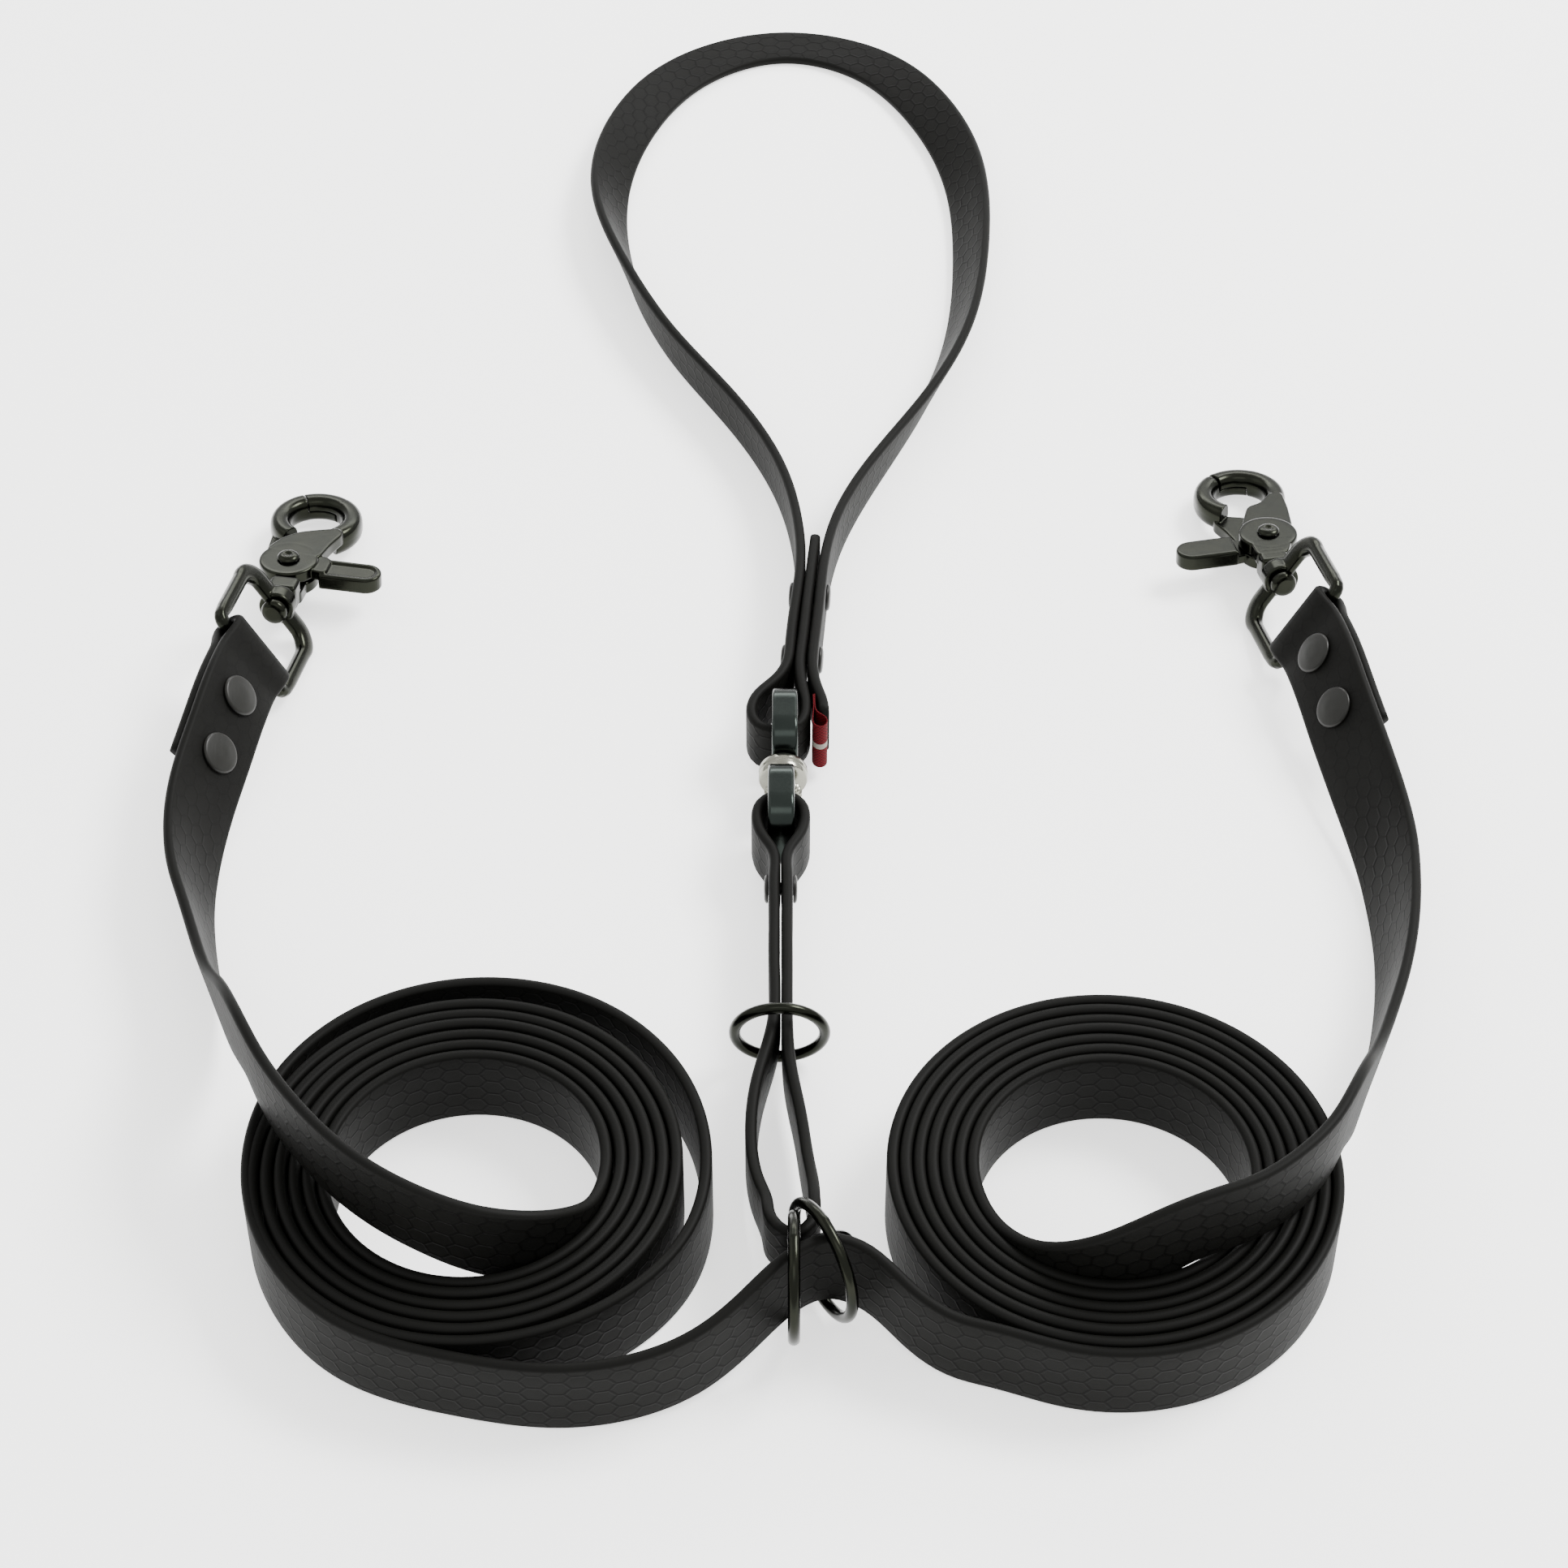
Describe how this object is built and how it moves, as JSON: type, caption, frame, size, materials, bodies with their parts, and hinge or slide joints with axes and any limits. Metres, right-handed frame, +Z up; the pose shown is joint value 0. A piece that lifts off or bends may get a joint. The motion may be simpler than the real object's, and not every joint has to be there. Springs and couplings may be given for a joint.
{
  "type": "training leash",
  "caption": "Training leash lying coiled: hand loop, double-eye swivel, yoke with slider ring, and a long rein with a trigger snap at each end.",
  "frame": {"origin": "middle of the bounding box, on the surface the leash lies on", "axes": "+Y towards the hand loop, +X towards the right coil and snap, +Z up"},
  "size_m": [0.2715, 0.4707, 0.0391],
  "materials": {
    "handle_rivet_1": "matte black, lightly scuffed",
    "handle_rivet_2": "matte black, lightly scuffed",
    "handle_strap": "matte PVC coating over webbing, embossed with a small honeycomb",
    "label_tab": "woven red ribbon with a narrow pale band",
    "left_hook_body": "polished black nickel on cast zinc or steel wire",
    "left_rein_coil": "matte PVC coating over webbing, embossed with a small honeycomb",
    "left_rein_ring": "polished black nickel on cast zinc or steel wire",
    "left_rein_tail": "matte PVC coating over webbing, embossed with a small honeycomb",
    "left_swivel_loop": "polished black nickel on cast zinc or steel wire",
    "left_tab_rivet_1": "matte black, lightly scuffed",
    "left_tab_rivet_2": "matte black, lightly scuffed",
    "left_trigger": "polished black nickel on cast zinc or steel wire",
    "left_trigger_pin": "polished black nickel on cast zinc or steel wire",
    "left_trigger_spring": "bright nickel plate",
    "link_ring": "polished black nickel on cast zinc or steel wire",
    "rein_bridge": "matte PVC coating over webbing, embossed with a small honeycomb",
    "right_hook_body": "polished black nickel on cast zinc or steel wire",
    "right_rein_coil": "matte PVC coating over webbing, embossed with a small honeycomb",
    "right_rein_ring": "polished black nickel on cast zinc or steel wire",
    "right_rein_tail": "matte PVC coating over webbing, embossed with a small honeycomb",
    "right_swivel_loop": "polished black nickel on cast zinc or steel wire",
    "right_tab_rivet_1": "matte black, lightly scuffed",
    "right_tab_rivet_2": "matte black, lightly scuffed",
    "right_trigger": "polished black nickel on cast zinc or steel wire",
    "right_trigger_pin": "polished black nickel on cast zinc or steel wire",
    "right_trigger_spring": "bright nickel plate",
    "slider_ring": "polished black nickel on cast zinc or steel wire",
    "swivel_lower_eye": "polished black nickel on cast zinc or steel wire",
    "swivel_pin": "bright nickel plate",
    "swivel_upper_eye": "polished black nickel on cast zinc or steel wire",
    "yoke_band": "matte PVC coating over webbing, embossed with a small honeycomb",
    "yoke_rivet": "matte black, lightly scuffed"
  },
  "bodies": {
    "reins": {"left_rein_coil": "left_rein_coil", "right_rein_coil": "right_rein_coil", "rein_bridge": "rein_bridge", "left_rein_tail": "left_rein_tail", "right_rein_tail": "right_rein_tail", "left_tab_rivet_1": "left_tab_rivet_1", "left_tab_rivet_2": "left_tab_rivet_2", "right_tab_rivet_1": "right_tab_rivet_1", "right_tab_rivet_2": "right_tab_rivet_2", "yoke_band": "yoke_band", "yoke_rivet": "yoke_rivet"},
    "slider_ring": {"slider_ring": "slider_ring"},
    "left_rein_ring": {"left_rein_ring": "left_rein_ring"},
    "right_rein_ring": {"right_rein_ring": "right_rein_ring"},
    "link_ring": {"link_ring": "link_ring"},
    "swivel_lower": {"swivel_lower_eye": "swivel_lower_eye"},
    "swivel_upper": {"swivel_upper_eye": "swivel_upper_eye", "swivel_pin": "swivel_pin"},
    "handle": {"handle_strap": "handle_strap", "handle_rivet_1": "handle_rivet_1", "handle_rivet_2": "handle_rivet_2", "label_tab": "label_tab"},
    "left_loop": {"left_swivel_loop": "left_swivel_loop"},
    "left_hook": {"left_hook_body": "left_hook_body", "left_trigger_pin": "left_trigger_pin", "left_trigger_spring": "left_trigger_spring"},
    "left_trigger": {"left_trigger": "left_trigger"},
    "right_loop": {"right_swivel_loop": "right_swivel_loop"},
    "right_hook": {"right_hook_body": "right_hook_body", "right_trigger_pin": "right_trigger_pin", "right_trigger_spring": "right_trigger_spring"},
    "right_trigger": {"right_trigger": "right_trigger"}
  },
  "joints": [
    {"name": "ring_slide", "type": "slide", "parent": "reins", "child": "slider_ring", "axis": [0, 1, 0], "range_m": [-0.0015, 0.031]},
    {"name": "left_ring_turn", "type": "hinge", "parent": "reins", "child": "left_rein_ring", "pos_m": [0.0014, -0.2107, 0.0154], "axis": [1, 0, 0], "continuous": true},
    {"name": "right_ring_turn", "type": "hinge", "parent": "reins", "child": "right_rein_ring", "pos_m": [0.00705, -0.2064, 0.0153], "axis": [0.8829, 0.4695, 0], "continuous": true},
    {"name": "link_ring_turn", "type": "hinge", "parent": "reins", "child": "link_ring", "pos_m": [0.0041, -0.20425, 0.0105], "axis": [-0.5064, 0.8428, 0.1822], "continuous": true},
    {"name": "yoke_pivot", "type": "hinge", "parent": "reins", "child": "swivel_lower", "pos_m": [-0.0011, -0.08855, 0.0098], "axis": [0, 0, 1], "range_deg": [-10, 10]},
    {"name": "swivel_turn", "type": "hinge", "parent": "swivel_lower", "child": "swivel_upper", "pos_m": [-0.0007, -0.0681, 0.0098], "axis": [0, 1, 0], "continuous": true},
    {"name": "handle_pivot", "type": "hinge", "parent": "swivel_upper", "child": "handle", "pos_m": [-0.0003, -0.04765, 0.0098], "axis": [0, 0, 1], "range_deg": [-10, 10]},
    {"name": "left_loop_swing", "type": "hinge", "parent": "reins", "child": "left_loop", "pos_m": [-0.1213, -0.0341, 0.014], "axis": [-0.5507, 0.2218, 0.8047], "range_deg": [-45, 45]},
    {"name": "left_snap_swivel", "type": "hinge", "parent": "left_loop", "child": "left_hook", "pos_m": [-0.11513, 0.00114, 0.00851], "axis": [0.1704, 0.9736, -0.1517], "continuous": true},
    {"name": "left_trigger_open", "type": "hinge", "parent": "left_hook", "child": "left_trigger", "pos_m": [-0.11661, 0.0014, 0.00851], "axis": [-0.0262, -0.1494, -0.9884], "range_deg": [0, 22], "stiffness_Nm_per_rad": 0.03, "springref_deg": -20.05},
    {"name": "right_loop_swing", "type": "hinge", "parent": "reins", "child": "right_loop", "pos_m": [0.1191, -0.0246, 0.0142], "axis": [-0.5459, -0.2368, -0.8037], "range_deg": [-45, 45]},
    {"name": "right_snap_swivel", "type": "hinge", "parent": "right_loop", "child": "right_hook", "pos_m": [0.11238, 0.0105, 0.00842], "axis": [-0.1856, 0.9696, -0.1596], "continuous": true},
    {"name": "right_trigger_open", "type": "hinge", "parent": "right_hook", "child": "right_trigger", "pos_m": [0.11385, 0.01078, 0.00842], "axis": [-0.03, 0.1568, 0.9872], "range_deg": [0, 22], "stiffness_Nm_per_rad": 0.03, "springref_deg": -20.05}
  ]
}
